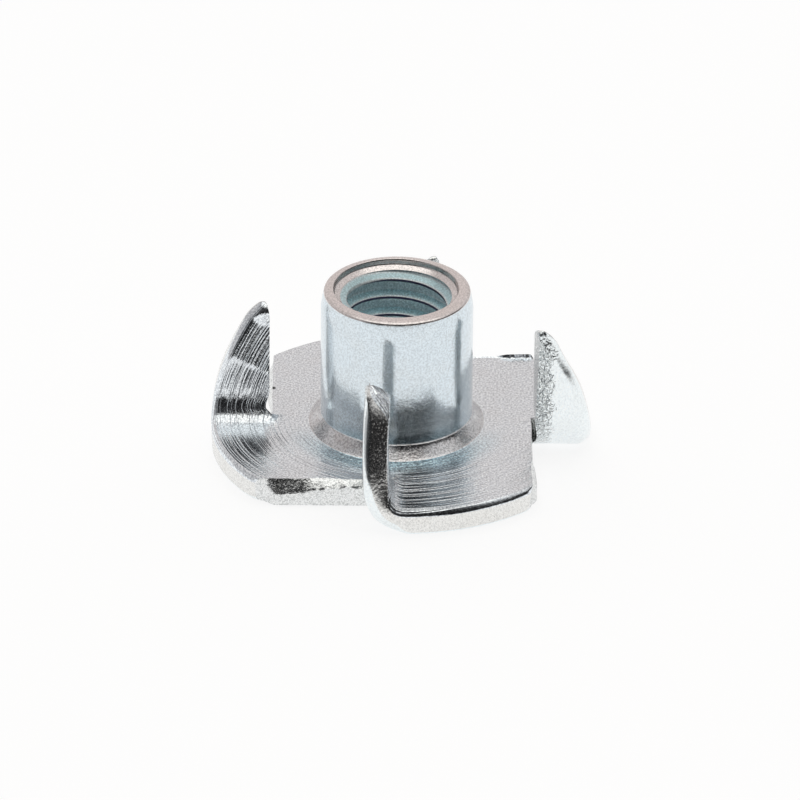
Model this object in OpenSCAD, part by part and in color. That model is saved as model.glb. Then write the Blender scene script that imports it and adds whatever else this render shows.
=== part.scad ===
// Four-prong tee nut for wood, pressed from one piece of sheet steel.
// The barrel is drawn up out of a round blank. Four flaps are sheared along chords of the
// blank and bent upright beside the barrel, turned the same way, like a pinwheel.
// Origin: the barrel's axis at the flange's underside. +Z points towards the barrel's rim.
// The bore is at the thread's minor diameter and the thread's ridges are not cut.

/* [Sheet and blank] */
// Thickness of the sheet
sheet_t = 1.3; // [1:0.1:1.5]
// Diameter of the round blank
blank_d = 19.3; // [18.5:0.1:21]
// Sideways error between the blank's centre and the barrel's axis
blank_shift = 0.25; // [0:0.05:0.4]
// Width of the edge that the punch rolls over, round the top of the blank
roll_w = 0.3; // [0.1:0.05:0.3]
// Width of the rounding round the underside's outer edge
foot_w = 0.2; // [0.1:0.05:0.3]

/* [Barrel] */
// Overall height, from the flange's underside to the rim
nut_h = 8.8; // [8:0.1:12]
// Outside diameter of the barrel
barrel_d = 7.7; // [7.5:0.1:8]
// Diameter of the bore, an M6 thread's minor diameter
bore_d = 5; // [4.9:0.05:5.2]
// Diameter of the mouth at the rim
mouth_d = 6.4; // [6.2:0.1:6.6]
// Depth of the mouth's steep wall
mouth_h = 0.3; // [0.2:0.05:0.4]
// How much the mouth's steep wall closes in on its way down
mouth_draft = 0.07; // [0:0.01:0.15]
// Slope of the mouth's floor, down to the bore
mouth_angle = 28; // [20:1:40]
// Radius of the rim's outer edge, where facing cuts it short
rim_r = 1; // [0.6:0.1:1.3]
// Length of barrel that the rim's outer edge takes up
rim_h = 0.5; // [0.3:0.05:0.5]
// Radius of the drawn throat, under the barrel
throat_r = 1.4; // [1:0.1:1.8]

/* [Collar] */
// Diameter of the collar where it leaves the flange
collar_base_d = 8.9; // [8.7:0.1:9.4]
// Diameter of the collar at its top
collar_top_d = 8; // [8:0.05:8.2]
// Height of the collar above the flange
collar_h = 0.75; // [0.5:0.05:1.2]
// Radius between the collar's top and the barrel
collar_fillet_r = 0.15; // [0.05:0.05:0.15]

/* [Prongs] */
// Distance from the blank's centre to each shear line
shear_y = 6.6; // [6.3:0.1:7]
// Gap that the shear blade leaves beside each prong
shear_gap = 0.1; // [0.05:0.05:0.2]
// How much further out the sheared edges are at the underside than at the top
shear_lean = 0.35; // [0.1:0.05:0.5]
// How much is blunted off the corner between each shear line and the blank's edge
corner_cut = 0.15; // [0.05:0.05:0.3]
// Inside radius of the prong's bend
bend_r = 1; // [1:0.1:1.4]
// Distance from the blank's centre line to the inner face of a standing prong
prong_set = 0.35; // [0.1:0.05:0.6]
// Radius of the prong's blunt point, seen from its flat side
point_r = 0.35; // [0.2:0.05:0.5]
// Radius that rounds the prong's end over its inner face
nose_r = 1.05; // [0.7:0.05:1.1]

/* [Hidden] */
$fn = 96;
prong_count = 4;
// Depth of the sheet's neutral fibre below its inner face, as a share of its thickness
neutral_share = 0.4;
// How far cutting shapes reach past what they cut, in length and in angle
reach = 1;
reach_angle = 5;
// Distance of a rounded edge's centre from both faces, in widths of the rounding
roll_depth = 1.6;
blank_r = blank_d / 2;
barrel_r = barrel_d / 2;
bore_r = bore_d / 2;
mouth_r = mouth_d / 2;
floor_r = mouth_r - mouth_draft;
// The turned middle ends just outside the collar
hub_r = collar_base_d / 2 + 0.3;
// The corner between a shear line and the blank's edge, and the way that it points
corner_x = -sqrt(pow(blank_r, 2) - pow(shear_y, 2));
corner_turn = 225 + asin(shear_y / blank_r) / 2;
// The bend's axis stands over the line where the flap leaves the flange
bend_x = bend_r - prong_set;
bend_z = sheet_t + bend_r;
bend_length = (bend_r + neutral_share * sheet_t) * PI / 2;
// Height of the blank's centre in a flap that has been bent upright
flap_z = bend_z + bend_x - bend_length;
// Centre of the blunt point, from the flap's own centre: distance out, then height
edge_y = shear_y + shear_gap;
point_y = edge_y + point_r;
point_z = sqrt(pow(blank_r - point_r, 2) - pow(point_y, 2));
prong_top = flap_z + point_z + point_r;
// Angle up the flap's arc at which the bend ends
bend_end_angle = asin((bend_z - flap_z) / blank_r);

// Half section of the barrel, its collar and the middle of the flange
module shank_profile() {
    difference() {
        union() {
            square([hub_r, sheet_t]);
            square([barrel_r, nut_h - rim_h]);
            square([barrel_r - rim_r, nut_h]);
            intersection() {
                translate([barrel_r - rim_r, nut_h - rim_h]) circle(rim_r);
                square([barrel_r, nut_h]);
            }
            collar_profile();
        }
        bore_profile();
    }
}

// Half section of the collar: a steep cone with a small fillet above it
module collar_profile() {
    top_z = sheet_t + collar_h;
    polygon([
        [0, sheet_t], [collar_base_d / 2, sheet_t], [collar_top_d / 2, top_z], [0, top_z]
    ]);
    difference() {
        translate([0, top_z]) square([barrel_r + collar_fillet_r, collar_fillet_r]);
        translate([barrel_r + collar_fillet_r, top_z + collar_fillet_r]) circle(collar_fillet_r);
    }
}

// Half section of the bore, with the drawn throat below it and the mouth above
module bore_profile() {
    square([bore_r, nut_h]);
    difference() {
        square([bore_r + throat_r, throat_r]);
        translate([bore_r + throat_r, throat_r]) circle(throat_r);
    }
    floor_z = nut_h - mouth_h;
    polygon([
        [0, floor_z - floor_r * tan(mouth_angle)], [floor_r, floor_z], [mouth_r, nut_h], [0, nut_h]
    ]);
}

module shank() {
    rotate_extrude() shank_profile();
}

// What a rounded edge leaves off: x is depth below its face, y is distance in from the edge
module roll_section(width) {
    centre = roll_depth * width;
    difference() {
        translate([-reach, -reach]) square(width + reach);
        translate([centre, centre]) circle(norm([centre, centre - width]));
    }
}

// What both rounded edges leave off a strip of sheet: x is depth below the top face
module edge_section() {
    roll_section(roll_w);
    translate([sheet_t, 0]) mirror([1, 0]) roll_section(foot_w);
}

// Half section of the blank, with its rounded edges
module blank_profile() {
    difference() {
        square([blank_r, sheet_t]);
        translate([blank_r, sheet_t]) mirror([1, 1]) edge_section();
    }
}

// What the shear takes from the flange beside one prong
module shear_window() {
    translate([bend_x, 0, 0]) rotate([90, 0, -90])
        linear_extrude(blank_d) polygon([
            [shear_y - shear_lean, sheet_t * 2], [shear_y + shear_lean * 2, -sheet_t],
            [blank_d, -sheet_t], [blank_d, sheet_t * 2]
        ]);
}

// What is blunted off the corner at a shear line's end
module corner_block() {
    translate([corner_x, -shear_y, -reach]) rotate(corner_turn) translate([-corner_cut, -reach, 0])
        cube([2 * reach, 2 * reach, sheet_t + 2 * reach]);
}

// Section across a flap: x is depth below the top face, y is distance from the centre
module flap_section() {
    polygon([
        [0, edge_y], [sheet_t, edge_y + shear_lean],
        [sheet_t, blank_r + reach], [0, blank_r + reach]
    ]);
}

// The flap bent upright, before it has its outline
module bent_strip() {
    translate([bend_x, 0, bend_z]) rotate([90, 0, 0]) rotate(180)
        rotate_extrude(angle = 90) translate([bend_r, 0]) flap_section();
    translate([-prong_set, 0, bend_z])
        linear_extrude(prong_top - bend_z) rotate(180) flap_section();
}

// Outline of the flap: the blank's arc, run into a blunt point at the shear line
module flap_outline() {
    arc_share = (blank_r + reach) / (blank_r - point_r);
    difference() {
        circle(blank_r);
        polygon([
            [0, point_z], [point_y, point_z], [point_y, point_z] * arc_share,
            [point_y * arc_share, blank_r * 2], [0, blank_r * 2]
        ]);
    }
    translate([point_y, point_z]) circle(point_r);
}

// Side view of a prong's end, rounded over its inner face
module nose_profile() {
    round_z = prong_top - nose_r;
    back_x = -prong_set - sheet_t - reach;
    translate([back_x, 0]) square([bend_x - back_x, round_z]);
    translate([back_x, 0]) square([-prong_set - nose_r - back_x, prong_top]);
    translate([-prong_set - nose_r, round_z]) circle(nose_r);
}

// The blank's rounded edges, followed round the bend and up the standing flap
module flap_roll() {
    end_angle = asin(point_z / blank_r) + reach_angle;
    translate([bend_x, -blank_r * cos(bend_end_angle), bend_z])
        rotate([90 - bend_end_angle, 0, 0]) rotate(180)
            rotate_extrude(angle = 90) translate([bend_r, 0]) mirror([0, 1]) edge_section();
    translate([0, 0, flap_z]) rotate([0, 90, 0]) rotate(270 - end_angle)
        rotate_extrude(angle = end_angle - bend_end_angle)
            translate([blank_r, -prong_set]) mirror([1, 1]) edge_section();
}

// One prong, at the front of the blank
module prong() {
    difference() {
        intersection() {
            bent_strip();
            translate([bend_x, 0, flap_z]) rotate([90, 0, -90])
                linear_extrude(blank_r) flap_outline();
            translate([0, reach - edge_y, 0]) rotate([90, 0, 0])
                linear_extrude(blank_r) nose_profile();
        }
        flap_roll();
    }
}

module flange() {
    difference() {
        rotate_extrude() blank_profile();
        translate([-blank_shift, 0, -reach]) cylinder(h = sheet_t + 2 * reach, r = hub_r);
        for (n = [0 : prong_count - 1]) rotate(n * 360 / prong_count) {
            shear_window();
            corner_block();
        }
    }
    for (n = [0 : prong_count - 1]) rotate(n * 360 / prong_count) prong();
}

module tee_nut() {
    color("lightsteelblue") {
        translate([blank_shift, 0, 0]) flange();
        shank();
    }
}

tee_nut();
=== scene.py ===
"""Four-prong tee nut, pressed from sheet steel and zinc plated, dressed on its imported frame."""

import logging
import math
from collections.abc import Sequence
from dataclasses import dataclass
from enum import Enum

import bmesh
import bpy
from bmesh.types import BMEdge, BMesh, BMFace, BMVert
from bpy.types import Material, Node, NodeSocket, NodeTree, Object
from mathutils import Matrix, Vector, noise


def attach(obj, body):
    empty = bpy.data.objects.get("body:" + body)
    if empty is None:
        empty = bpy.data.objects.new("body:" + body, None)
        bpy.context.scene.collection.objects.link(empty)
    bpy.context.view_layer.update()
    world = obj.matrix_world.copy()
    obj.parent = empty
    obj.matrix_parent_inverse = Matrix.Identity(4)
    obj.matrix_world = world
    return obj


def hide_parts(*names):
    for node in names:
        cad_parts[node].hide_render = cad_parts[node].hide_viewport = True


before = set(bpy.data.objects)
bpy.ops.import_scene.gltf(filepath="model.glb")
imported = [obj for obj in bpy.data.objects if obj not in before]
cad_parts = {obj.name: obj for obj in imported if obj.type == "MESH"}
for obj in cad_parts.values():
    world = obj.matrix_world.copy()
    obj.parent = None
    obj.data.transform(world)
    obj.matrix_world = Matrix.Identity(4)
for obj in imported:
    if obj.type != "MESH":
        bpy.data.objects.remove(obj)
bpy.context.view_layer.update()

LOG = logging.getLogger("tee_nut")
# A millimetre and a micrometre in metres: every size below is in millimetres, unless it says so
MM = 0.001
UM = 1e-6
# Steps round the flange and the outside of the barrel
SECTORS = 288
# Points that are closer together than this are one point
WELD = 0.002
# The points of a section, and the places and sRGB hex colours of a scale of tints
Section = Sequence[tuple[float, float]]
Stops = Sequence[tuple[float, str]]
# The finishes' noise: grains per millimetre, detail and roughness. Real grains are too fine to
# show, so these are coarser.
GRIT = {"Scale": 7.0, "Detail": 3.0, "Roughness": 0.6}
SPECK = {"Scale": 10.0, "Detail": 2.0, "Roughness": 0.7}
FLECK = {"Scale": 9.0, "Detail": 2.0, "Roughness": 0.7}
CLOUD = {"Scale": 0.7, "Detail": 5.0, "Roughness": 0.65}
WAVE = {"Scale": 0.9, "Detail": 2.0}


class Zone(Enum):
    """How a part of the surface was made, and so which finish it takes."""

    DRAWN_WALL = 0
    FACED_RIM = 1
    TAPPED_BORE = 2
    PRESSED_FACE = 3
    UNDERSIDE = 4
    BLANKED_EDGE = 5
    SHEARED_EDGE = 6
    COINED_COLLAR = 7


class Pattern(Enum):
    """Which way the tool marks in a finish run."""

    RINGS = "rings"
    UPRIGHT = "upright"
    AROUND = "around"
    DIMPLED = "dimpled"
    CRACKLED = "crackled"


def smooth_step(low: float, high: float, value: float) -> float:
    """A smooth rise from 0 to 1.

    Args:
        low: Where the rise starts.
        high: Where it ends.
        value: Where it is read.

    Returns:
        0 before low, 1 after high, and a smooth curve between.
    """
    share = min(max((value - low) / (high - low), 0.0), 1.0)
    return share * share * (3 - 2 * share)


def rolled(distance: float, width: float, drop: float, curve: float = 2.0) -> float:
    """How far a rounded edge lies below its face.

    Args:
        distance: Distance in from the edge.
        width: Width of the rounding.
        drop: Depth of the rounding at the edge itself.
        curve: 2 for an ellipse, down to 1 for a flat chamfer.

    Returns:
        The depth, which is 0 past the rounding.
    """
    if distance >= width:
        return 0.0
    return drop * (1 - max(0.0, 1 - (1 - distance / width) ** curve) ** (1 / curve))


def wobble(point: Vector, size: float, seed: float) -> float:
    """Smooth noise between about -1 and 1.

    Args:
        point: Where it is read, in millimetres.
        size: Length of a bump, in millimetres.
        seed: Offset that makes one use differ from another.

    Returns:
        The noise's value.
    """
    return noise.noise(point / size + Vector((seed, seed * 0.37, seed * 0.71)))


def grow(bm: BMesh, ring: list[BMEdge], radius: float, height: float) -> list[BMEdge]:
    """Extrudes a ring about Z to another radius and height.

    Args:
        bm: The mesh.
        ring: The ring's edges, all at one radius and one height.
        radius: Radius of the new ring.
        height: Height of the new ring.

    Returns:
        The new ring's edges.
    """
    old = ring[0].verts[0].co.copy()
    made = bmesh.ops.extrude_edge_only(bm, edges=ring)["geom"]
    verts = [g for g in made if isinstance(g, BMVert)]
    scale = radius / old.xy.length
    bmesh.ops.scale(bm, verts=verts, vec=(scale, scale, 1.0))
    bmesh.ops.translate(bm, verts=verts, vec=(0, 0, height - old.z))
    fresh = set(verts)
    return [g for g in made if isinstance(g, BMEdge) and fresh.issuperset(g.verts)]


@dataclass(frozen=True)
class Quarter:
    """One quarter of the flange, with the prong sheared from it."""

    shear_y: float  # shear line, from the blank's centre
    prong_set: float  # prong's inner face, from the blank's centre line
    prong_top: float
    nose_w: float = 1.0  # rounding over the prong's end
    nose_h: float = 0.7
    nose_reach: float = 3.6
    nose_curve: float = 1.15
    shear_lean: float = 0.35  # how far the flange's sheared edge leans out
    lean_near: float = 0.2  # share of that lean beside the bend
    bend_r: float = 1.0
    ease_up: float = 2.0  # length in which the bend straightens out
    join: float = 1.1  # length of the bend that the slit leaves joined
    tear: float = 0.45  # how far the flap's edge is torn in above the join
    blunt_h: float = 0.8  # height of the point's outer side
    worn: float = 1.0  # how much the underside's rounding grows on the prong
    roll_up: float = 1.0  # share of the upper rounding that the prong keeps
    twist: float = 0.0  # how far the inner face's round edge is drawn in
    dish: float = 0.0  # depth of the hollow in the inner face
    swell: float = 0.45  # how far the round edge swells out at the top
    bow: float = 0.12
    burr: float = 0.0
    seed: float = 0.0


# The front, right, back and left quarters
QUARTERS = (
    Quarter(
        shear_y=6.25, prong_set=0.52, prong_top=6.88, nose_w=1.08, nose_h=1.35, nose_reach=1.6,
        nose_curve=1.5, shear_lean=0.42, lean_near=1.0, ease_up=1.5, blunt_h=0.35, roll_up=0.25,
        twist=0.42, bow=0.1, seed=3.1,
    ),
    Quarter(
        shear_y=6.6, prong_set=0.35, prong_top=7.2, shear_lean=0.25, tear=0.14, worn=1.8, swell=0.62,
        seed=8.2,
    ),
    Quarter(
        shear_y=6.75, prong_set=0.58, prong_top=6.92, nose_h=1.2, nose_curve=1.6, shear_lean=0.3,
        burr=0.2, seed=12.9,
    ),
    Quarter(
        shear_y=6.6, prong_set=0.3, prong_top=7.29, nose_w=1.05, nose_h=0.8, nose_curve=1.05, shear_lean=0.3,
        bend_r=1.5, ease_up=3.2, join=1.8, tear=0.2, dish=0.68, swell=0.2, bow=0.0, seed=21.4,
    ),
)


@dataclass
class Barrel:
    """The drawn and tapped barrel, its rim, its collar and the throat below it."""

    radius: float = 3.85
    height: float = 8.8
    sheet_t: float = 1.3
    bore_r: float = 2.5
    throat_r: float = 1.4
    thread_r: float = 2.9
    pitch: float = 1.0
    thread_sectors: int = 240
    thread_start: float = -1.27  # where the swept thread starts, in pitches
    low_cut: float = 0.27  # where the thread is cut off above the throat
    foot_z: float = 0.22  # height of the first ring below that cut
    ledge_r: float = 2.82  # the ledge between the thread and the mouth
    ledge_z: float = 8.34
    lead_z: float = 8.24  # where the bore starts to open towards the ledge
    mouth_shift: tuple[float, float, float] = (-0.06, 0.12, 0.0)
    mouth_z: tuple[float, float] = (8.0, 8.3)  # heights and radii between which that shift fades
    mouth_r: tuple[float, float] = (3.22, 3.5)
    # The rim from the ledge outwards: radius, and depth below the top
    rim: Section = (
        (2.822, 0.452), (2.85, 0.437), (2.95, 0.39), (3.07, 0.326), (3.1, 0.305), (3.118, 0.28),
        (3.125, 0.25), (3.14, 0.17), (3.155, 0.08), (3.165, 0.035), (3.182, 0.01), (3.21, 0.0),
        (3.26, 0.0), (3.38, 0.006), (3.49, 0.018), (3.57, 0.032), (3.63, 0.05), (3.665, 0.07),
        (3.687, 0.092), (3.703, 0.12), (3.713, 0.152), (3.726, 0.21), (3.748, 0.31), (3.772, 0.43),
        (3.798, 0.57), (3.822, 0.72), (3.85, 0.95),
    )
    wall_from: float = 7.6  # the plain wall's rings
    wall_step: float = 0.5
    wall_rings: int = 12
    # The collar from the wall down to the flange: radius and height
    collar: Section = (
        (3.851, 2.0), (3.854, 1.97), (3.865, 1.95), (3.885, 1.94), (3.9, 1.93), (3.91, 1.905),
        (3.938, 1.85), (3.975, 1.79), (4.04, 1.712), (4.12, 1.626), (4.2, 1.54), (4.28, 1.457),
        (4.35, 1.388), (4.41, 1.33),
    )
    collar_base_r: float = 4.45
    # Where one finish gives way to the next
    underside_top: float = 0.3
    collar_top: float = 1.96
    bore_edge_r: float = 3.05
    rim_edge_r: float = 3.708

    def throat(self, height: float) -> float:
        """Radius of the throat's rounding at a height below its top."""
        rise = self.throat_r - height
        return self.bore_r + self.throat_r - math.sqrt(self.throat_r**2 - rise**2)

    def high_cut(self) -> float:
        """Height at which the thread is cut off, just under the mouth's ledge."""
        return self.ledge_z - 0.02

    def thread_section(self) -> Section:
        """The section of one turn of the thread.

        Returns:
            Each point's radius and its height as a share of the pitch.
        """
        deep, crest = self.thread_r, self.bore_r
        half = [
            (crest, 0.0), (crest, 0.055), (crest + 0.012, 0.068), (crest + 0.04, 0.088), (crest + 0.2, 0.18),
            (deep - 0.04, 0.272), (deep - 0.015, 0.29), (deep, 0.32), (deep, 0.41),
        ]
        return half + [(radius, 1.0 - share) for radius, share in reversed(half)]

    def outer_section(self) -> Section:
        """The section from the mouth's ledge over the rim and down to the collar's foot.

        Returns:
            Each point's radius and height.
        """
        rim = [(radius, self.height - depth) for radius, depth in self.rim]
        wall = [(self.radius, self.wall_from - self.wall_step * ring) for ring in range(self.wall_rings)]
        return rim + wall + list(self.collar) + [(self.collar_base_r, self.sheet_t)]

    def foot_section(self) -> Section:
        """The section from inside the throat to the flange's underside.

        Returns:
            Each point's radius and height.
        """
        edge = self.bore_r + self.throat_r
        section = [(self.throat(height), height) for height in (0.15, 0.09, 0.045, 0.015)]
        return section + [(radius, 0.0) for radius in (edge - 0.02, edge + 0.06, 4.2, self.collar_base_r)]

    def build_bore(self, bm: BMesh) -> None:
        """Sweeps the thread up the bore and opens it into the throat and the mouth.

        Args:
            bm: The mesh.
        """
        section = [(radius, share + self.thread_start) for radius, share in self.thread_section()]
        verts = [bm.verts.new((radius, 0, turns * self.pitch)) for radius, turns in section]
        edges = [bm.edges.new(pair) for pair in zip(verts, verts[1:])]
        bmesh.ops.spin(
            bm, geom=verts + edges, cent=(0, 0, 0), axis=(0, 0, 1), angle=math.tau,
            dvec=(0, 0, self.pitch / self.thread_sectors), steps=self.thread_sectors,
            use_merge=False, use_duplicate=False,
        )
        turn = bm.verts[:] + bm.edges[:] + bm.faces[:]
        for step in range(1, math.ceil(self.height / self.pitch) + 1):
            again = bmesh.ops.duplicate(bm, geom=turn)["geom"]
            verts = [g for g in again if isinstance(g, BMVert)]
            bmesh.ops.translate(bm, verts=verts, vec=(0, 0, step * self.pitch))
        bmesh.ops.remove_doubles(bm, verts=bm.verts[:], dist=WELD)
        for cut, clear_up in ((self.low_cut, False), (self.high_cut(), True)):
            bmesh.ops.bisect_plane(
                bm, geom=bm.verts[:] + bm.edges[:] + bm.faces[:], dist=WELD,
                plane_co=(0, 0, cut), plane_no=(0, 0, 1), clear_outer=clear_up, clear_inner=not clear_up,
            )
        for vert in bm.verts:
            radius = vert.co.xy.length
            lead = (vert.co.z - self.lead_z) / (self.ledge_z - self.lead_z)
            clear = self.bore_r + (self.ledge_r - self.bore_r) * max(lead, 0.0)
            if vert.co.z < self.throat_r:
                clear = self.throat(vert.co.z)
            vert.co.xy *= max(radius, clear) / radius

    def build(self, bm: BMesh) -> None:
        """Builds the barrel from the thread outwards, as one open shell.

        Args:
            bm: An empty mesh.
        """
        self.build_bore(bm)
        ends = (
            (self.high_cut(), self.ledge_z, self.ledge_r, self.outer_section()),
            (self.low_cut, self.foot_z, self.throat(self.foot_z), self.foot_section()),
        )
        for cut, first_z, first_r, section in ends:
            at_cut = {v for v in bm.verts if abs(v.co.z - cut) < WELD}
            inner = [e for e in bm.edges if e.is_boundary and at_cut.issuperset(e.verts)]
            start = Matrix.Translation((0, 0, first_z))
            circle = bmesh.ops.create_circle(bm, segments=SECTORS, radius=first_r, matrix=start)["verts"]
            outer = list(dict.fromkeys(e for v in circle for e in v.link_edges))
            bmesh.ops.bridge_loops(bm, edges=inner + outer)
            for radius, height in section:
                outer = grow(bm, outer, radius, height)
        for vert in bm.verts:
            off = smooth_step(*self.mouth_r, vert.co.xy.length)
            vert.co += smooth_step(*self.mouth_z, vert.co.z) * (1 - off) * Vector(self.mouth_shift)

    def zone(self, face: BMFace) -> Zone:
        """Which zone a face of the barrel belongs to.

        Args:
            face: The face.

        Returns:
            Its zone.
        """
        centre = face.calc_center_median()
        radius = centre.xy.length
        if centre.z < self.underside_top:
            return Zone.UNDERSIDE
        if radius < self.bore_edge_r and centre.z < self.ledge_z:
            return Zone.TAPPED_BORE
        if centre.z > self.high_cut() and radius < self.rim_edge_r:
            return Zone.FACED_RIM
        return Zone.COINED_COLLAR if centre.z < self.collar_top else Zone.DRAWN_WALL


@dataclass
class Flange:
    """The round blank with its four flaps sheared on one side and bent upright.

    It is built as a flat slab, whose points are then moved to where the press takes them.
    """

    quarters: tuple[Quarter, ...] = QUARTERS
    sheet_t: float = 1.3
    blank_r: float = 9.65
    shift: float = 0.25  # of the blank's centre, off the barrel's axis
    hole_r: float = 4.45
    gap: float = 0.1  # width of the slit beside each flap
    point_r: float = 0.35
    roll_w: float = 0.18  # rounding round the blank's top
    roll_h: float = 0.31
    roll_curve: float = 1.25
    foot_w: float = 0.24  # rounding round its underside
    foot_h: float = 0.28
    foot_curve: float = 1.6
    flap_lean: float = 0.4  # of a flap's sheared edge, growing with height
    tip_w: float = 0.2  # rounding over the back of a prong's end
    tip_h: float = 0.25
    tip_slope: float = 0.75  # width of a prong's end rounding, as a share of its height
    swell_h: float = 2.2  # length of a prong's swell
    inner_h: float = 0.7  # height of the point's inner side
    ease: float = 0.9  # length in which a bend sets in
    neutral: float = 0.4  # share of the sheet above its neutral fibre
    bend_steps: int = 60
    wall_rows: int = 12
    rings: int = 38
    # The last rings' distances in from the rim
    rim_rings: tuple[float, ...] = (0.5, 0.38, 0.28, 0.2, 0.14, 0.09, 0.05, 0.02, 0.0)

    def centre(self) -> Vector:
        """The blank's centre."""
        return Vector((self.shift, 0, 0))

    def local(self, index: int, point: Vector) -> Vector:
        """A point in the frame of one quarter, whose flap lies at -Y."""
        return Matrix.Rotation(-index * math.pi / 2, 3, "Z") @ (point - self.centre())

    def world(self, index: int, point: Vector) -> Vector:
        """A point of one quarter's frame, back in the part's frame."""
        return Matrix.Rotation(index * math.pi / 2, 3, "Z") @ point + self.centre()

    def edge_y(self, quarter: Quarter) -> float:
        """Distance from the blank's centre to the flap's own sheared edge."""
        return quarter.shear_y + self.gap

    def bend_x(self, quarter: Quarter) -> float:
        """Where the flap leaves the flange, in the quarter's frame."""
        gone = self.bend_path(quarter, self.bend_length(quarter))[0]
        return gone - self.neutral * self.sheet_t - quarter.prong_set

    def bend_length(self, quarter: Quarter) -> float:
        """Length of sheet in the bend, along its neutral fibre, with the eased ends."""
        fibre_r = quarter.bend_r + self.neutral * self.sheet_t
        return (fibre_r - self.ease / 2) * math.pi / 2 + (self.ease + quarter.ease_up) / 2

    def bend_path(self, quarter: Quarter, along: float) -> tuple[float, float, float]:
        """The neutral fibre's course through the bend.

        Args:
            quarter: The flap's quarter.
            along: Distance along the fibre from the start of the bend.

        Returns:
            Distance gone, height gained and the angle turned there.
        """
        length = self.bend_length(quarter)
        gone = gained = angle = 0.0
        tight = math.pi / 2 / (length - (self.ease + quarter.ease_up) / 2)
        step = min(max(along, 0.0), length) / self.bend_steps
        for place in range(self.bend_steps):
            middle = (place + 0.5) * step
            turn = tight * step * min(1.0, middle / self.ease, (length - middle) / quarter.ease_up)
            gone += step * math.cos(angle + turn / 2)
            gained += step * math.sin(angle + turn / 2)
            angle += turn
        return gone, gained, angle

    def bent(self, quarter: Quarter, along: float, depth: float) -> tuple[float, float]:
        """Where a point lies in the bend's own section.

        Args:
            quarter: The flap's quarter.
            along: Distance along the neutral fibre from the start of the bend.
            depth: Depth below the inner face.

        Returns:
            Distance across from the blank's centre line, and height.
        """
        gone, gained, angle = self.bend_path(quarter, along)
        skin = depth - self.neutral * self.sheet_t
        height = self.sheet_t * (1 - self.neutral) + gained - skin * math.cos(angle)
        past = max(0.0, along - self.bend_length(quarter))
        return self.bend_x(quarter) - gone - skin * math.sin(angle), height + past

    def annulus(self, bm: BMesh) -> None:
        """Spins the blank as a flat ring, its rings closer together at the rim.

        Args:
            bm: An empty mesh.
        """
        plain = self.rim_rings[0]
        inner_r = self.blank_r - plain
        radii = [self.hole_r + (inner_r - self.hole_r) * ring / self.rings for ring in range(self.rings)]
        radii += [self.blank_r - margin for margin in self.rim_rings]
        verts = [bm.verts.new((radius, 0, 0)) for radius in radii]
        edges = [bm.edges.new(pair) for pair in zip(verts, verts[1:])]
        bmesh.ops.spin(
            bm, geom=verts + edges, cent=(0, 0, 0), axis=(0, 0, 1), angle=math.tau,
            dvec=(0, 0, 0), steps=SECTORS, use_merge=True, use_duplicate=False,
        )
        bmesh.ops.remove_doubles(bm, verts=bm.verts[:], dist=WELD)
        for vert in bm.verts:
            radius = vert.co.xy.length
            away = vert.co.normalized()
            rim = self.shift * away.x + math.sqrt(self.blank_r**2 - (self.shift * away.y) ** 2)
            if radius > inner_r - WELD:
                vert.co = away * (radius + rim - self.blank_r)
            else:
                share = (radius - self.hole_r) / (inner_r - self.hole_r)
                vert.co = away * (self.hole_r + share * (rim - plain - self.hole_r))

    def cut(
        self, bm: BMesh, faces: list[BMFace], axis: int, line: float, near: float, end: float
    ) -> list[BMFace]:
        """Cuts some faces along a straight line.

        Args:
            bm: The flat blank.
            faces: The faces round a flap.
            axis: 0 for a line that crosses X, 1 for one that crosses Y.
            line: Where it crosses that axis.
            near: Distance from the line within which a face's centre lies, if the face is cut.
            end: Where the line ends on the other axis.

        Returns:
            The faces round the flap, with the new ones.
        """
        chosen: list[BMFace] = []
        kept: list[BMFace] = []
        for face in faces:
            centre = face.calc_center_median()
            hit = abs(centre[axis] - line) < near and centre[1 - axis] < end
            (chosen if hit else kept).append(face)
        parts = dict.fromkeys(part for f in chosen for part in (*f.verts, *f.edges))
        point = Vector((line, 0, 0) if axis == 0 else (0, line, 0))
        made = bmesh.ops.bisect_plane(
            bm, geom=[*parts, *chosen], dist=0.02, plane_co=point, plane_no=point.normalized()
        )["geom"]
        return kept + [g for g in made if isinstance(g, BMFace)]

    def slit(self, bm: BMesh, quarter: Quarter) -> None:
        """Shears one flap free along its chord and rules the lines that it bends on.

        Args:
            bm: The flat blank, turned so that the flap lies at -Y and moved to its own centre.
            quarter: The flap's sizes.
        """
        bend, edge, shear = self.bend_x(quarter), self.edge_y(quarter), quarter.shear_y
        length, stop, snap = self.bend_length(quarter), bend - quarter.join, 0.03
        sharp = math.sqrt(self.blank_r**2 - edge**2)
        # The bend's start and the slit's end, then the slit's two sides and close lines beside them
        cuts = [(0, line, 0.6, 0.5 - shear) for line in (bend, stop)]
        cuts += [(1, -line, 0.5, bend) for line in (shear, edge)]
        for offset in (0.05, 0.11, 0.2, 0.34):
            cuts += [(1, line, 0.4, bend + 0.3) for line in (offset - shear, -offset - edge)]
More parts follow.
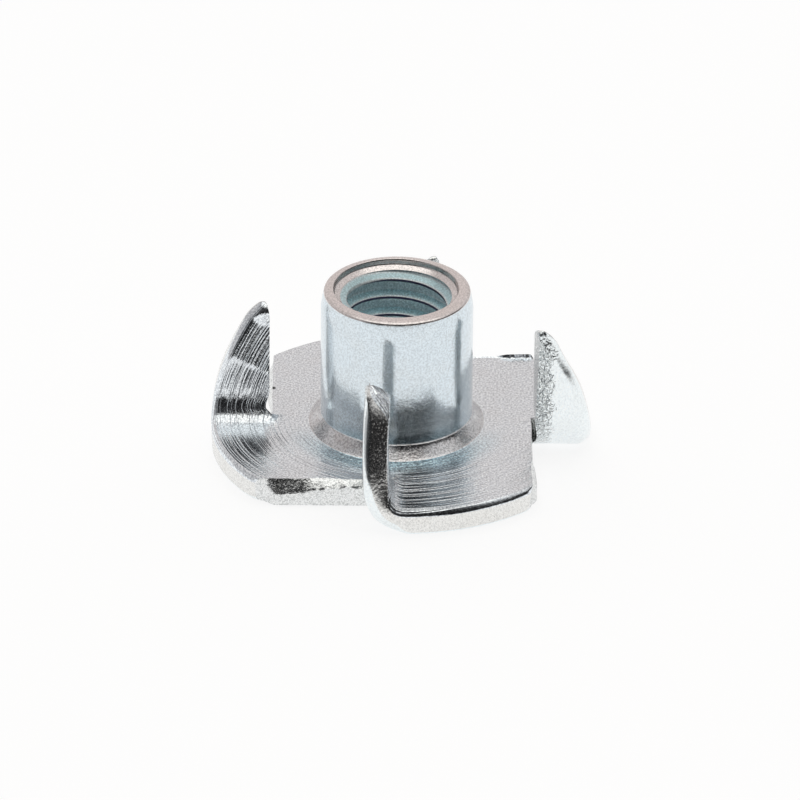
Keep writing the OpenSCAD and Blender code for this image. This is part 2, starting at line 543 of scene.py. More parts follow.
        # Across the bend, across the tip and along the tip
        cuts += [(0, bend - length * step / 16, 0.4, -edge) for step in range(1, 17)]
        cuts += [(0, 0.09 * step - sharp, 0.4, -edge) for step in range(1, 16)]
        cuts += [(1, -edge - 0.12 * step, 0.4, -5.0) for step in range(1, 8)]
        faces = [f for f in bm.faces if f.calc_center_median().y < 1 - shear]
        for axis, line, near, end in cuts:
            faces = self.cut(bm, faces, axis, line, near, end)
        waste = [f for f in faces if (c := f.calc_center_median()).x < stop and -edge < c.y < -shear]
        bmesh.ops.delete(bm, geom=waste, context="FACES")
        for vert in bm.verts:
            for line in (shear, edge):
                if vert.co.x < stop + snap and abs(vert.co.y + line) < snap:
                    vert.co.y = -line
                    if self.blank_r - vert.co.length < snap:
                        vert.co.x = -math.sqrt(self.blank_r**2 - line**2)

    def thicken(self, bm: BMesh) -> None:
        """Gives the flat blank its thickness, with rows down its edges.

        Args:
            bm: The flat blank, which becomes a slab from 0 to the sheet's thickness.
        """
        made = bmesh.ops.extrude_face_region(bm, geom=bm.faces[:], use_keep_orig=True)["geom"]
        raised = [g for g in made if isinstance(g, BMVert)]
        bmesh.ops.translate(bm, verts=raised, vec=(0, 0, self.sheet_t))
        hole = [
            f for f in bm.faces
            if all(v.co.xy.length < self.hole_r + WELD for v in f.verts) and abs(f.normal.z) < 0.5
        ]
        bmesh.ops.delete(bm, geom=hole, context="FACES")
        upright = [e for e in bm.edges if abs(e.verts[0].co.z - e.verts[1].co.z) > self.sheet_t / 2]
        bmesh.ops.subdivide_edges(bm, edges=upright, cuts=self.wall_rows - 1)

    def flap_of(self, flat: Vector) -> int | None:
        """Which quarter's flap holds a point.

        Args:
            flat: The point, on the flat slab.

        Returns:
            The quarter's index, or None outside the flaps.
        """
        for index, quarter in enumerate(self.quarters):
            place = self.local(index, flat)
            if place.x < self.bend_x(quarter) + WELD and place.y < -self.edge_y(quarter) + WELD:
                return index
        return None

    def edge_depth(self, flat: Vector, drawn: float, crisp: float = 0.0) -> float:
        """Depth below the top face of a point of the slab, once its rim is rounded.

        Args:
            flat: The point, on the flat slab.
            drawn: How many times larger than usual the underside's rounding is.
            crisp: Share of the upper edge's rounding that is missing.

        Returns:
            The depth.
        """
        margin = self.blank_r - (flat.xy.to_3d() - self.centre()).length
        share = flat.z / self.sheet_t
        top = rolled(margin, self.roll_w, self.roll_h * (1 - crisp), self.roll_curve)
        foot = rolled(margin, self.foot_w * drawn, self.foot_h * drawn, self.foot_curve)
        return top + (self.sheet_t - top - foot) * (1 - share)

    def blunted(self, place: Vector, shear: float, size: float) -> Vector:
        """Rounds the corner that a shear line leaves at the rim, in the quarter's frame.

        Args:
            place: A point of the flange.
            shear: Distance from the centre to the shear line.
            size: How far from the corner the rounding starts.

        Returns:
            The point, moved away from the corner where it is close to it.
        """
        out = place.xy.to_3d().normalized()
        line, rim = place.y + shear, self.blank_r - place.xy.length
        if place.x > 0 or line > size or rim > size:
            return place
        near, far = 1 - line / size, 1 - rim / size
        pull_line = size * near * (1 - math.sqrt(1 - far**2 / 2))
        pull_rim = size * far * (1 - math.sqrt(1 - near**2 / 2))
        slant = -out.y
        square = max(1 - slant**2, 0.05)
        up, inward = (pull_line - slant * pull_rim) / square, (pull_rim - slant * pull_line) / square
        return place + Vector((0, 1, 0)) * up - out * inward

    def place_flange(self, flat: Vector) -> Vector:
        """Where a point of the slab outside the flaps ends up.

        Args:
            flat: The point, on the flat slab.

        Returns:
            Its place, with the sheared edges leaning out towards the underside.
        """
        depth, rise = self.edge_depth(flat, 0.5), 0.0
        moved = flat.copy()
        for index, quarter in enumerate(self.quarters):
            place = self.local(index, flat)
            margin = place.y + quarter.shear_y
            room = self.bend_x(quarter) - place.x
            if room < -WELD or not -self.gap - WELD <= margin < 1.5 or place.y > 0:
                continue
            rim = self.blank_r - place.xy.length
            share = depth / self.sheet_t
            place = self.blunted(place, quarter.shear_y, 0.2 + 0.34 * share)
            # The upper band of the sheared edge leans, and what is torn below it is ragged
            bumps = {size: wobble(flat, size, quarter.seed) for size in (0.25, 0.5, 0.7, 1.7)}
            fade = smooth_step(0.0, 0.25, room - quarter.join) * (1 - smooth_step(0.0, 1.5, margin))
            fade *= smooth_step(0.3, 0.8, rim)
            ragged = 0.04 * bumps[0.5] + 0.11 * bumps[1.7]
            far = smooth_step(4.2, 6.2, room)
            torn = 0.22 + 0.26 * far + 0.1 * bumps[0.7] + 0.1 * bumps[0.25]
            lean = min(share / max(torn, 0.1), 1.0)
            slope = quarter.shear_lean * (quarter.lean_near + (1 - quarter.lean_near) * far)
            place.y -= fade * (slope * lean + ragged * (1 - lean))
            raised = 0.25 + 0.75 * smooth_step(5.3, 6.1, room)
            depth -= quarter.burr * raised * max(0.0, 1 - margin / 0.06) * (1 - share) ** 2
            # Beside the join the flange is pulled up with the bend
            along = min(room, quarter.join)
            x, z = self.bent(quarter, along, depth)
            pull = 1 - smooth_step(-self.gap, 0.9, margin)
            pull *= 1 - smooth_step(quarter.join, quarter.join + 0.7, room)
            place.x += pull * (x - self.bend_x(quarter) + along)
            rise = pull * (z - self.sheet_t + depth)
            moved = self.world(index, place)
        moved.z = self.sheet_t - depth + rise
        return moved

    def place_flap(self, index: int, flat: Vector) -> Vector:
        """Where a point of a flap ends up once it is bent upright.

        Args:
            index: The flap's quarter.
            flat: The point, on the flat slab.

        Returns:
            Its place.
        """
        quarter = self.quarters[index]
        edge, bend, length = self.edge_y(quarter), self.bend_x(quarter), self.bend_length(quarter)
        place = self.local(index, flat)
        reach = -place.x
        along = bend + reach
        # The underside's rounding is larger in the bend and on the worn prong
        in_bend = smooth_step(0.2, 0.9, along) * (1 - smooth_step(1.6, 3.2, along))
        grown = quarter.worn * smooth_step(0.0, 0.8, along)
        crisp = (1 - quarter.roll_up) * smooth_step(0.8, 2.6, along)
        depth = self.edge_depth(flat, 0.5 + 0.9 * grown + 0.6 * in_bend, crisp)
        # The sharp corner at the flap's end is pressed back to the blunt point
        blade_z = self.sheet_t * (1 - self.neutral) + self.bend_path(quarter, length)[1] + bend - length
        sharp = math.sqrt(self.blank_r**2 - edge**2)
        top = quarter.prong_top - blade_z
        start = 2 * top - sharp
        full = math.sqrt(max(self.blank_r**2 - reach**2, 0.0)) - edge
        across = min(max((-place.y - edge) / max(full, 1e-4), 0.0), 1.0)
        if reach > start:
            reach = top - (sharp - reach) ** 2 / (2 * (sharp - start))
        along = bend + reach
        low, high = self.flap_span(quarter, reach, top, depth)
        climb = min(max((along - 1.0) / 3.2, 0.0), 1.0)
        high -= quarter.twist * (1 - (1 - climb) ** 2) * (1 - depth / self.sheet_t) ** (2.6 - 1.6 * climb)
        out = edge + low + (high - low) * across
        margin = (edge + high - out) * (1 - 0.25 * smooth_step(0.0, top, reach))
        depth = self.nosed(quarter, top - reach, margin, depth)
        x, z = self.bent(quarter, along, depth)
        rise = max(0.0, z - self.sheet_t) / (quarter.prong_top - self.sheet_t)
        x -= quarter.bow * math.sin(math.pi * min(1.1 * rise, 1.0))
        moved = self.world(index, Vector((x, -out, 0)))
        moved.z = z
        return moved

    def nosed(self, quarter: Quarter, short: float, margin: float, depth: float) -> float:
        """Depth below the inner face, once the prong's end is rounded over.

        Args:
            quarter: The flap's quarter.
            short: Distance down from the prong's top.
            margin: Distance in from the flap's round edge.
            depth: The depth before.

        Returns:
            The depth after.
        """
        fade, power = 1 - smooth_step(0.0, quarter.nose_reach, short), 2.6
        sides = (max(margin, 1e-3), max(short * self.tip_slope, 1e-3))
        apart = sum(side**-power for side in sides) ** (-1 / power)
        width = self.tip_slope * quarter.nose_h * fade + 1e-3
        inner = rolled(apart, width, quarter.nose_w * fade, quarter.nose_curve)
        outer = rolled(max(short, 0.0), self.tip_h, self.tip_w)
        # The hollow runs out on a slant, nearer to the top by the round edge
        sunk = min(quarter.dish, max(0.0, 0.36 * (2.6 + 0.45 * margin - short)))
        inner = (inner**4 + sunk**4) ** 0.25
        inner = min(inner, self.sheet_t - outer - 0.06)
        return inner + (self.sheet_t - inner - outer) * depth / self.sheet_t

    def flap_span(self, quarter: Quarter, reach: float, top: float, depth: float) -> tuple[float, float]:
        """The flap's width at one height, past its own sheared edge.

        Args:
            quarter: The flap's quarter.
            reach: Distance from the blank's centre line, along the flap.
            top: That distance at the blunt point.
            depth: Depth below the inner face.

        Returns:
            The nearest and the furthest distance past the sheared edge.
        """
        edge, tip = self.edge_y(quarter), self.point_r
        arc = math.sqrt(max(self.blank_r**2 - reach**2, 0.0)) - edge
        arc += quarter.swell * max(0.0, 1 - (top - reach) / self.swell_h) ** 2
        blunt = min(max(1 + (reach - top) / quarter.blunt_h, 0.0), 1.0)
        inner = min(max(1 + (reach - top) / self.inner_h, 0.0), 1.0)
        high = tip + (arc - tip) * math.sqrt(1 - blunt**2)
        low = tip - tip * math.sqrt(1 - inner**2)
        up = self.bend_x(quarter) + reach - quarter.join
        lean = self.flap_lean * depth / self.sheet_t * smooth_step(0.0, 0.3, up) * (0.06 + 0.1 * max(up, 0.0))
        torn = quarter.tear * smooth_step(0.0, 0.4, up) * (1 - smooth_step(0.4, 1.5, up))
        torn -= 0.8 * self.gap * (1 - smooth_step(0.0, 0.7, abs(up)))
        return min(max(low, lean), max(tip, low)) + torn, high

    def build(self, bm: BMesh, zones: dict[BMFace, Zone], flats: dict[BMVert, Vector]) -> None:
        """Builds the flange with its prongs, open at the hole that the barrel fills.

        Args:
            bm: An empty mesh.
            zones: Filled with each face's zone.
            flats: Filled with each vertex's place on the flat slab.
        """
        self.annulus(bm)
        bmesh.ops.translate(bm, verts=bm.verts[:], vec=-self.centre())
        quarter_turn = Matrix.Rotation(-math.pi / 2, 3, "Z")
        for quarter in self.quarters:
            self.slit(bm, quarter)
            bmesh.ops.rotate(bm, verts=bm.verts[:], cent=(0, 0, 0), matrix=quarter_turn)
        bmesh.ops.translate(bm, verts=bm.verts[:], vec=self.centre())
        bmesh.ops.triangulate(bm, faces=[f for f in bm.faces if len(f.verts) > 4])
        self.thicken(bm)
        for vert in bm.verts:
            flats[vert] = vert.co.copy()
        for face in bm.faces:
            zones[face] = self.zone([flats[v] for v in face.verts])
        for vert, flat in flats.items():
            index = self.flap_of(flat)
            vert.co = self.place_flange(flat) if index is None else self.place_flap(index, flat)

    def zone(self, corners: list[Vector]) -> Zone:
        """Which zone a face belongs to.

        Args:
            corners: The face's corners on the flat slab.

        Returns:
            Its zone.
        """
        if all(c.z > self.sheet_t - WELD for c in corners):
            return Zone.PRESSED_FACE
        if all(c.z < WELD for c in corners):
            return Zone.UNDERSIDE
        margins = [self.blank_r - (c.xy.to_3d() - self.centre()).length for c in corners]
        return Zone.BLANKED_EDGE if max(margins) < 0.02 else Zone.SHEARED_EDGE


def linear(code: str) -> tuple[float, float, float, float]:
    """An sRGB hex colour as linear light.

    Args:
        code: Six hex digits.

    Returns:
        Red, green, blue and an alpha of 1.
    """
    parts = [int(code[at:at + 2], 16) / 255 for at in (0, 2, 4)]
    light = [p / 12.92 if p <= 0.04045 else ((p + 0.055) / 1.055) ** 2.4 for p in parts]
    return light[0], light[1], light[2], 1.0


def add(tree: NodeTree, kind: str, *inputs: object, stops: Stops = (), **named: object) -> Node:
    """Adds a node to a tree.

    Args:
        tree: The material's or the world's tree.
        kind: The node's type, without the ShaderNode in front, and after a space its operation.
        inputs: A value, a socket or a node for each input that the node shows, in order.
        stops: The stops of a colour ramp.
        named: The node's own properties, and inputs by name with _ for a space. None is left out.

    Returns:
        The node.
    """
    kind, *operation = kind.split()
    node = tree.nodes.new("ShaderNode" + kind)
    if operation:
        node.operation = operation[0]
    places = {}
    for name, value in named.items():
        if hasattr(node, name):
            setattr(node, name, value)
        else:
            places[node.inputs[name.replace("_", " ")]] = value
    places |= zip([socket for socket in node.inputs if socket.enabled], inputs)
    for socket, value in places.items():
        if isinstance(value, Node):
            value = next(output for output in value.outputs if output.enabled)
        if isinstance(value, NodeSocket):
            tree.links.new(value, socket)
        elif value is not None:
            socket.default_value = value
    for count, (place, code) in enumerate(stops):
        spots = node.color_ramp.elements
        spot = spots[count] if count < 2 else spots.new(1.0)
        spot.position, spot.color = place, linear(code)
    return node


@dataclass(frozen=True)
class ZincFinish:
    """Bright zinc plate on steel, with a thin clear-blue passivation.

    The zinc gives the eye a cool, slightly blue mirror, broken up by the marks of whatever
    shaped the steel below it. Depths in micrometres, other sizes in millimetres.
    """

    made: str  # how the steel below it was shaped
    pattern: Pattern
    colour: str = "D9DFE2"
    stain: str = "C9BFB2"
    stain_share: float = 0.15
    roughness: float = 0.2
    grit_um: float = 1.2
    wave_um: float = 12.0
    marks_um: float = 8.0
    marks_mm: float = 0.12  # width of a tool mark
    speck: float = 0.25  # how much lighter and darker the specks are
    frost: float = 0.3  # share of the mirror that a frosted speck takes away
    frost_span: tuple[float, float] = (0.48, 0.64)  # noise at which it sets in and is full
    film: float = 0.0  # share that the passivation takes away elsewhere
    groove_um: float = 0.0
    near_tint: str = ""  # the tint by the collar
    painted_shade_spot: tuple[float, float] = (0.0, 0.0)  # place of a black spot of painted shade, for a small pit
    painted_bore_light: Stops = ()  # the thread's teal tint with painted light and shade, by radius

    def make(self) -> Material:
        """Makes the material.

        Returns:
            The material.
        """
        material = bpy.data.materials.new(f"zinc_plated_{self.made}_steel")
        material.use_nodes = True
        tree = material.node_tree
        tree.nodes.clear()
        spot = add(tree, "VectorMath SCALE", add(tree, "TexCoord").outputs["Object"], 1 / MM)
        noises = (GRIT, SPECK, WAVE, CLOUD)
        grit, speck, wave, cloud = (add(tree, "TexNoise", spot, **noise_kind) for noise_kind in noises)
        patch = add(tree, "MapRange", cloud, 0.45, 0.75, 0.0, self.stain_share)
        tint = add(tree, "Mix", patch, linear(self.colour), linear(self.stain), data_type="RGBA")
        shade = add(tree, "MapRange", speck, 0.4, 0.6, 1 - self.speck, 1 + self.speck)
        plate = add(tree, "VectorMath SCALE", self.toned(tree, spot, tint), shade)
        rough = add(tree, "MapRange", grit, 0.3, 0.7, self.roughness * 0.8, self.roughness * 1.25)
        mirror = add(tree, "MapRange", speck, *self.frost_span, 1 - self.film, 1 - self.frost)
        layers = [(wave, self.wave_um), (self.marks(tree, spot), self.marks_um), (grit, self.grit_um)]
        if self.groove_um:
            layers.append((self.grooves(tree), self.groove_um))
        normal = None
        for height, depth in layers:
            normal = add(tree, "Bump", Strength=1.0, Distance=depth * UM, Height=height, Normal=normal)
        metal = add(tree, "BsdfPrincipled", Base_Color=plate, Metallic=mirror, Roughness=rough, Normal=normal)
        add(tree, "OutputMaterial", metal)
        return material

    def on_blank(self, tree: NodeTree) -> list[NodeSocket]:
        """Where the surface lay on the flat blank, as X, Y and Z."""
        return list(add(tree, "SeparateXYZ", add(tree, "UVMap", uv_map="blank")).outputs)

    def toned(self, tree: NodeTree, spot: Node, colour: Node) -> Node:
        """The colour. In the thread: a teal tint with painted light, that is painted shade on the crest, a
        painted highlight along its edge, flanks and root painted lighter than the bore's light makes them,
        and painted shade towards the mouth. On the pressed face: a bluer, flecked tint by the collar on the
        front side, and a black spot of painted shade for a small pit.

        Args:
            tree: The material's tree.
            spot: The part's own coordinates in millimetres.
            colour: The colour elsewhere.

        Returns:
            The colour.
        """
        # The thread's teal tint with painted light: painted shade on the crest, a painted highlight along its
        # edge, and flanks and root painted lighter than the light in the bore makes them
        if self.painted_bore_light:
            x, y, z = add(tree, "SeparateXYZ", spot).outputs
            away = add(tree, "VectorMath LENGTH", add(tree, "CombineXYZ", x, y))
            inner, outer = self.painted_bore_light[0][0], self.painted_bore_light[-1][0]
            stops = [((radius - inner) / (outer - inner), code) for radius, code in self.painted_bore_light]
            tint = add(tree, "ValToRGB", add(tree, "MapRange", away, inner, outer), stops=stops)
            # Painted shade towards the mouth, where the top turns of the thread get more light
            painted_mouth_shade = add(tree, "MapRange", z, 7.3, 8.15, 1.0, 0.75)
            return add(tree, "VectorMath SCALE", tint, painted_mouth_shade)
        if not self.near_tint:
            return colour
        # A bluer, flecked tint on the pressed face by the collar, on the front side only
        x, y, _ = self.on_blank(tree)
        level = add(tree, "CombineXYZ", x, y)
        away = add(tree, "VectorMath LENGTH", level)
        near = add(tree, "MapRange", away, 4.8, 6.2, 1.0, 0.0, interpolation_type="SMOOTHSTEP")
        front = add(tree, "MapRange", y, -4.2, -0.8, 1.0, 0.0)
        both = add(tree, "Math MULTIPLY", near, front)
        fleck = add(tree, "MapRange", add(tree, "TexNoise", spot, **FLECK), 0.4, 0.6, 0.55, 1.25)
        film = add(tree, "VectorMath SCALE", linear(self.near_tint)[:3], fleck)
        tinted = add(tree, "Mix", both, colour, film, data_type="RGBA")
        # A black spot of painted shade for a small pit on the pressed face
        off = add(tree, "VectorMath SUBTRACT", level, (*self.painted_shade_spot, 0.0))
        hole = add(tree, "MapRange", add(tree, "VectorMath LENGTH", off), 0.1, 0.16, 0.02, 1.0)
        return add(tree, "VectorMath SCALE", tinted, hole)

    def grooves(self, tree: NodeTree) -> Node:
        """A few sharp scores round the barrel, where the tool dragged the sheet.

        Args:
            tree: The material's tree.

        Returns:
            The height, which drops in each score.
        """
        x, y, _ = self.on_blank(tree)
        turn = add(tree, "Math ARCTAN2", y, x)
        level = add(tree, "CombineXYZ", x, y)
        lane = add(tree, "CombineXYZ", add(tree, "VectorMath LENGTH", level), turn)
        lanes = add(tree, "VectorMath MULTIPLY", lane, (3.8, 0.55, 1.0))
        off = add(tree, "Math SUBTRACT", add(tree, "TexNoise", lanes, Scale=1.0, Detail=1.5), 0.5)
        score = add(tree, "MapRange", add(tree, "Math ABSOLUTE", off), 0.0, 0.06, -1.0, 0.0)
        # They are deepest at the front left and faint on the far side
        side = add(tree, "VectorMath DOT_PRODUCT", level, (-0.08, -0.1, 0.0))
        press = add(tree, "MapRange", side, -0.4, 0.6, 0.15, 1.0)
        return add(tree, "Math MULTIPLY", score, press)

    def marks(self, tree: NodeTree, spot: Node) -> Node:
        """The tool marks, as a height from 0 to 1.

        Args:
            tree: The material's tree.
            spot: The part's own coordinates in millimetres.

        Returns:
            The height.
        """
        if self.pattern is Pattern.CRACKLED:
            return self.crackle(tree, spot)
        fine = 1 / self.marks_mm
        lane, stretch = spot, (fine, fine, fine)
        if self.pattern is not Pattern.DIMPLED:
            rings = self.pattern is Pattern.RINGS
            x, y, z = self.on_blank(tree) if rings else add(tree, "SeparateXYZ", spot).outputs
            turn = add(tree, "Math ARCTAN2", y, x)
            away = add(tree, "VectorMath LENGTH", add(tree, "CombineXYZ", x, y))
            axes, stretch = {
                Pattern.RINGS: ((away, turn), (fine, 0.8, 1.0)),
                Pattern.UPRIGHT: ((turn, z), (3.85 / self.marks_mm, 0.35, 1.0)),
                Pattern.AROUND: ((away, z, turn), (fine, fine, 0.8)),
            }[self.pattern]
            lane = add(tree, "CombineXYZ", *axes)
        lanes = add(tree, "VectorMath MULTIPLY", lane, stretch)
        return add(tree, "TexNoise", lanes, Scale=1.0, Detail=3.0)

    def crackle(self, tree: NodeTree, spot: Node) -> Node:
        """Close dimples, where the punch dragged the sheet beside each shear line.

        Args:
            tree: The material's tree.
            spot: The part's own coordinates in millimetres.

        Returns:
            The height.
        """
        x, y, _ = self.on_blank(tree)
        sideways = add(tree, "Math SUBTRACT", x, 0.25)
        spans = [add(tree, "Math ABSOLUTE", value) for value in (sideways, y)]
        out = add(tree, "Math MAXIMUM", *spans)
        cells = add(tree, "TexNoise", spot, Scale=1 / self.marks_mm, Detail=2.0, Distortion=0.6)
        steep = add(tree, "MapRange", cells, 0.38, 0.62)
        drift = add(tree, "TexNoise", spot, Scale=0.9, Detail=1.0)
        edge = add(tree, "Math MULTIPLY_ADD", drift, 1.2, out)
        near = add(tree, "MapRange", edge, 7.75, 8.25, 1.0, 0.06)
        away = add(tree, "VectorMath LENGTH", add(tree, "CombineXYZ", sideways, y))
        clear = add(tree, "MapRange", away, 9.0, 9.22, 1.0, 0.12)
        kept = add(tree, "Math MULTIPLY", near, clear)
        return add(tree, "Math MULTIPLY", steep, kept)


FINISHES: dict[Zone, ZincFinish] = {
    Zone.DRAWN_WALL: ZincFinish(
        "drawn", Pattern.UPRIGHT, colour="DAE4EA", roughness=0.15, grit_um=3.0, marks_um=5.0,
        speck=0.12, frost=0.06,
    ),
    Zone.FACED_RIM: ZincFinish(
        "turned", Pattern.AROUND, colour="E0D9D7", roughness=0.16, grit_um=3.0, marks_um=7.0,
        marks_mm=0.08, speck=0.16, frost=0.1,
    ),
    Zone.TAPPED_BORE: ZincFinish(
        "tapped", Pattern.AROUND, grit_um=5.0, marks_um=10.0, speck=0.15, frost=0.85, film=0.7,
        # Teal tint with painted light by radius: painted shade on the crest, a painted highlight on its edge,
        # and pale flanks and root that stand in for light the bore lacks
        painted_bore_light=(
            (2.5, "4A4460"), (2.506, "56506A"), (2.516, "FAFEFF"), (2.55, "F0FAFC"), (2.62, "D8F6FC"),
            (2.82, "D8F6FC"), (2.87, "E6FAFF"), (2.9, "F0FCFF"),
        ),
    ),
    Zone.PRESSED_FACE: ZincFinish(
        "pressed", Pattern.RINGS, colour="E3E8ED", roughness=0.14, grit_um=8.0, marks_um=22.0,
        # The last place given is a black spot of painted shade, for a small pit
        frost=0.07, groove_um=15.0, near_tint="C6DEE8", painted_shade_spot=(-6.3, 3.27),
    ),
    Zone.UNDERSIDE: ZincFinish(
        "sheet", Pattern.CRACKLED, colour="F4FAFC", roughness=0.17, grit_um=2.0, marks_um=110.0,
        marks_mm=0.2, speck=0.08, frost=0.1,
    ),
    Zone.BLANKED_EDGE: ZincFinish(
        "blanked", Pattern.DIMPLED, colour="ECECEA", roughness=0.18, grit_um=12.0, marks_um=10.0,
        speck=0.15, frost=0.6, frost_span=(0.58, 0.68),
    ),
    Zone.SHEARED_EDGE: ZincFinish(
        "sheared", Pattern.DIMPLED, colour="E8EAEA", grit_um=12.0, marks_um=36.0, frost=0.6,
        frost_span=(0.56, 0.68),
    ),
    Zone.COINED_COLLAR: ZincFinish(
        "coined", Pattern.DIMPLED, colour="DCDCDE", stain="A98D78", stain_share=0.3,
        grit_um=15.0, frost=0.4, frost_span=(0.54, 0.66),
    ),
}


@dataclass
class TeeNut:
    """The whole nut, one piece of steel: the barrel drawn up from the pronged flange."""

    barrel: Barrel
    flange: Flange
    name: str = "tee_nut_steel"
    sharp_from: float = 38.0  # degrees between two faces from which their edge shows

    def build(self) -> Object:
        """Builds the nut as one closed mesh and dresses it.

        Returns:
            The object, which stands for the frame's solid.
        """
        body = bmesh.new()
        self.barrel.build(body)
        barrel_mesh = bpy.data.meshes.new("barrel_shell")
        for face in body.faces:
            face.material_index = self.barrel.zone(face).value
        body.to_mesh(barrel_mesh)
        body.free()

        bm = bmesh.new()
        zones: dict[BMFace, Zone] = {}
        flats: dict[BMVert, Vector] = {}
        self.flange.build(bm, zones, flats)
        sheet = bm.loops.layers.uv.new("blank")
        for face, zone in zones.items():
            face.material_index = zone.value
            for loop in face.loops:
                loop[sheet].uv = flats[loop.vert].xy
        bm.from_mesh(barrel_mesh)
        bpy.data.meshes.remove(barrel_mesh)
        bmesh.ops.remove_doubles(bm, verts=bm.verts[:], dist=WELD)
        bmesh.ops.dissolve_degenerate(bm, edges=bm.edges[:], dist=WELD / 4)
        for face in bm.faces:
            face.smooth = True
            for loop in face.loops:
                if loop[sheet].uv.length < WELD:
                    loop[sheet].uv = loop.vert.co.xy
        bmesh.ops.scale(bm, verts=bm.verts[:], vec=(MM, MM, MM))
        bmesh.ops.recalc_face_normals(bm, faces=bm.faces[:])
        open_edges = sum(not e.is_manifold for e in bm.edges)
        mesh = bpy.data.meshes.new(self.name)
        bm.to_mesh(mesh)
        bm.free()
        mesh.set_sharp_from_angle(angle=math.radians(self.sharp_from))
        piece = bpy.data.objects.new(self.name, mesh)
        bpy.context.scene.collection.objects.link(piece)
        for zone in Zone:
            mesh.materials.append(FINISHES[zone].make())
        triangles = sum(len(p.vertices) - 2 for p in mesh.polygons)
        LOG.info("%s: %d triangles, %d edges not closed", self.name, triangles, open_edges)
        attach(piece, "root")
        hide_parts("tee_nut")
        return piece


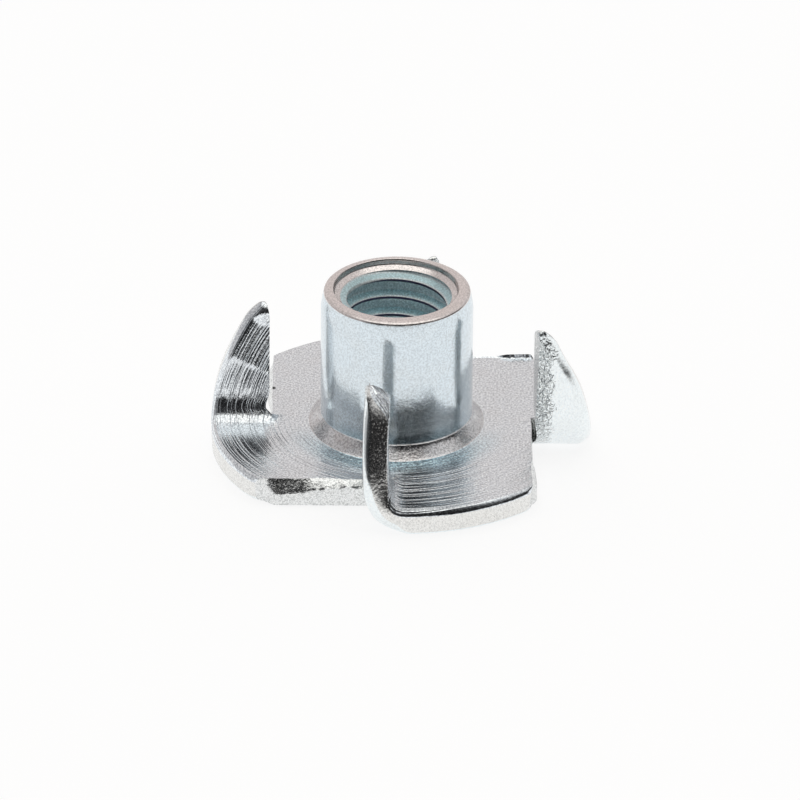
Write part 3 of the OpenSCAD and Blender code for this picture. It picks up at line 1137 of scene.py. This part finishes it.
@dataclass
class Studio:
    """A white table in a pale tent, with a dark space round the camera. Angles in degrees."""

    target: tuple[float, float, float] = (0.18, 0.0, 2.429)
    distance: float = 425.6
    elevation: float = 28.53
    roll: float = 0.41
    lens: float = 377.4
    sensor: float = 36.0
    clip: tuple[float, float] = (0.01, 20.0)  # metres
    table_half: float = 2000.0
    table_z: float = -0.01
    # The tent's brightness round the nut, from the back over the front (0) to the back again
    walls: Stops = (
        (-180.0, "E3DDDB"), (-95.0, "BCBABA"), (-56.0, "9A9A9C"), (-42.0, "5A5A5B"), (-30.0, "383839"),
        (0.0, "29292A"), (32.0, "383839"), (50.0, "707071"), (68.0, "DCDCDC"), (115.0, "DEDCDB"),
        (180.0, "E3DDDB"),
    )
    # The same low down, and the elevations between which it gives way to the walls
    skirt: Stops = (
        (-180.0, "E3DDDB"), (-95.0, "C4C2C2"), (-56.0, "AEAEAF"), (-42.0, "5A5A5B"), (-30.0, "383839"),
        (0.0, "202021"), (85.0, "282829"), (102.0, "48484A"), (125.0, "C8C8C8"), (180.0, "E3DDDB"),
    )
    skirt_to: tuple[float, float] = (23.0, 34.0)
    ceiling: tuple[float, float, float, float] = (1.25, 1.24, 1.2, 1.0)
    ceiling_from: tuple[float, float] = (53.0, 65.0)

    def camera(self) -> None:
        """Makes the scene's camera."""
        data = bpy.data.cameras.new("camera")
        data.sensor_width = self.sensor
        data.lens = self.lens
        data.clip_start, data.clip_end = self.clip
        target, tilt = Vector(self.target), math.radians(self.elevation)
        eye = target + self.distance * Vector((0, -math.cos(tilt), math.sin(tilt)))
        back = (eye - target).normalized()
        level = Vector((1, 0, 0))
        turn = math.radians(self.roll)
        right = math.cos(turn) * level + math.sin(turn) * back.cross(level)
        pose = Matrix((right, back.cross(right), back)).transposed().to_4x4()
        pose.translation = eye * MM
        camera = bpy.data.objects.new("camera", data)
        camera.matrix_world = pose
        bpy.context.scene.collection.objects.link(camera)
        bpy.context.scene.camera = camera

    def paper(self) -> Material:
        """White paper that shows white to the camera and in the metal, but keeps a soft shadow.

        Returns:
            The material.
        """
        material = bpy.data.materials.new("white_table_paper")
        material.use_nodes = True
        tree = material.node_tree
        tree.nodes.clear()
        path = add(tree, "LightPath").outputs
        seen = add(tree, "Math MAXIMUM", path["Is Camera Ray"], path["Is Glossy Ray"])
        shown = add(tree, "Math MAXIMUM", seen, path["Is Transmission Ray"])
        paper = add(tree, "BsdfDiffuse", linear("F2F2F2"))
        pale = add(tree, "BsdfDiffuse", linear("8A8A8A"))
        glow = add(tree, "Emission", (1, 1, 1, 1), 0.82)
        top = add(tree, "MixShader", shown, paper, add(tree, "AddShader", pale, glow))
        add(tree, "OutputMaterial", top)
        return material

    def table(self) -> None:
        """Lays the table under the nut."""
        bm = bmesh.new()
        bmesh.ops.create_grid(bm, x_segments=1, y_segments=1, size=self.table_half)
        bmesh.ops.translate(bm, verts=bm.verts[:], vec=(0, 0, self.table_z))
        bmesh.ops.scale(bm, verts=bm.verts[:], vec=(MM, MM, MM))
        mesh = bpy.data.meshes.new("table")
        bm.to_mesh(mesh)
        bm.free()
        mesh.materials.append(self.paper())
        sheet = bpy.data.objects.new("table", mesh)
        bpy.context.scene.collection.objects.link(sheet)

    def tent(self) -> None:
        """Lights the nut with the tent: a white ceiling, and walls that are dark behind the camera."""
        world = bpy.data.worlds.new("tent")
        bpy.context.scene.world = world
        world.use_nodes = True
        tree = world.node_tree
        tree.nodes.clear()
        x, y, z = add(tree, "SeparateXYZ", add(tree, "TexCoord").outputs["Generated"]).outputs
        front = add(tree, "Math MULTIPLY", y, -1.0)
        turn = add(tree, "Math ARCTAN2", x, front)
        share = add(tree, "MapRange", turn, -math.pi, math.pi)
        light, walls = (
            add(tree, "ValToRGB", share, stops=[(degrees / 360 + 0.5, code) for degrees, code in stops])
            for stops in (self.skirt, self.walls)
        )
        for span, upper in ((self.skirt_to, walls), (self.ceiling_from, self.ceiling)):
            low, high = (math.sin(math.radians(degrees)) for degrees in span)
            raised = add(tree, "MapRange", z, low, high, interpolation_type="SMOOTHSTEP")
            light = add(tree, "Mix", raised, light, upper, data_type="RGBA")
        lit = add(tree, "Background", light, 1.0)
        white = add(tree, "Background", (1, 1, 1, 1), 1.0)
        seen = add(tree, "MixShader", add(tree, "LightPath").outputs["Is Camera Ray"], lit, white)
        add(tree, "OutputWorld", seen)
        bpy.context.scene.view_settings.view_transform = "Standard"

    def build(self) -> None:
        """Builds the studio."""
        self.camera()
        self.table()
        self.tent()


def main() -> None:
    """Builds the studio and the nut."""
    logging.basicConfig(level=logging.INFO, format="%(message)s")
    Studio().build()
    TeeNut(Barrel(), Flange()).build()


if __name__ == "__main__":
    main()
